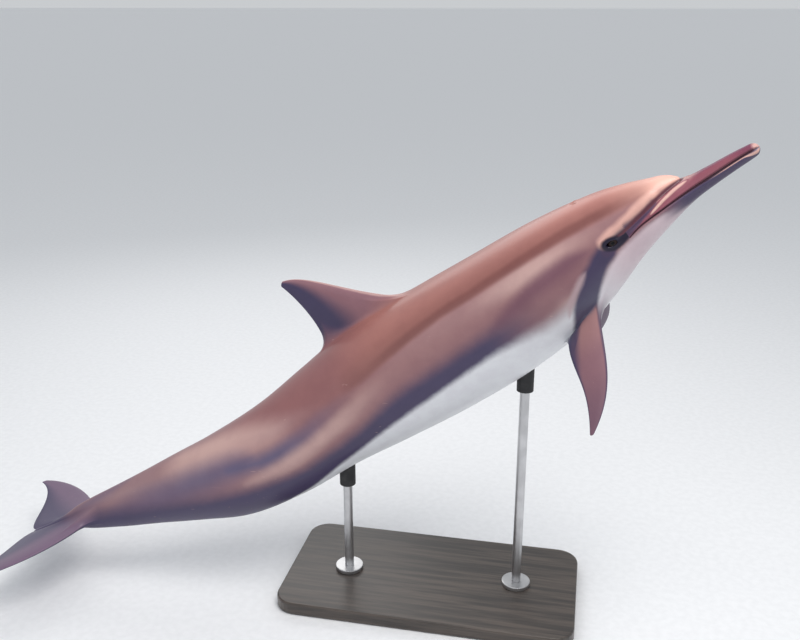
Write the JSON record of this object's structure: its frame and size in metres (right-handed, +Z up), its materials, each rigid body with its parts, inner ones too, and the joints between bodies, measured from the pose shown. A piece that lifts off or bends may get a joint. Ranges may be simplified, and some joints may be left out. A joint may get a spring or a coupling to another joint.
{
  "type": "life-size spinner dolphin model on a display stand",
  "caption": "Spinner dolphin swimming upwards with a long slim beak, curved back fin and bent tail, as a still life-size model held over a flat base by upright rods.",
  "frame": {"origin": "on the floor under the middle of the whole model's box, at the level of the base's underside", "axes": "+X is the way the dolphin heads, +Y is its left side, +Z is up"},
  "size_m": [1.7166, 0.6116, 1.1138],
  "materials": {
    "skin": "smooth wet skin, rose-brown above, paler flank, white belly, glossy",
    "eye": "dark polished eye",
    "stand_board": "dark stained board under satin lacquer",
    "stand_steel": "brushed",
    "stand_collar": "matt black"
  },
  "bodies": {
    "root": {"upper_jaw": "skin", "lower_jaw": "skin", "head": "skin", "chest": "skin", "trunk": "skin", "tail_stock_front": "skin", "tail_stock_rear": "skin", "dorsal_fin": "skin", "flipper_right": "skin", "flipper_left": "skin", "fluke_right": "skin", "fluke_left": "skin", "eye_right": "eye", "eye_left": "eye", "stand_base": "stand_board", "stand_flange_front": "stand_steel", "stand_flange_rear": "stand_steel", "stand_rod_front": "stand_steel", "stand_rod_rear": "stand_steel", "stand_collar_front": "stand_collar", "stand_collar_rear": "stand_collar"}
  },
  "joints": []
}
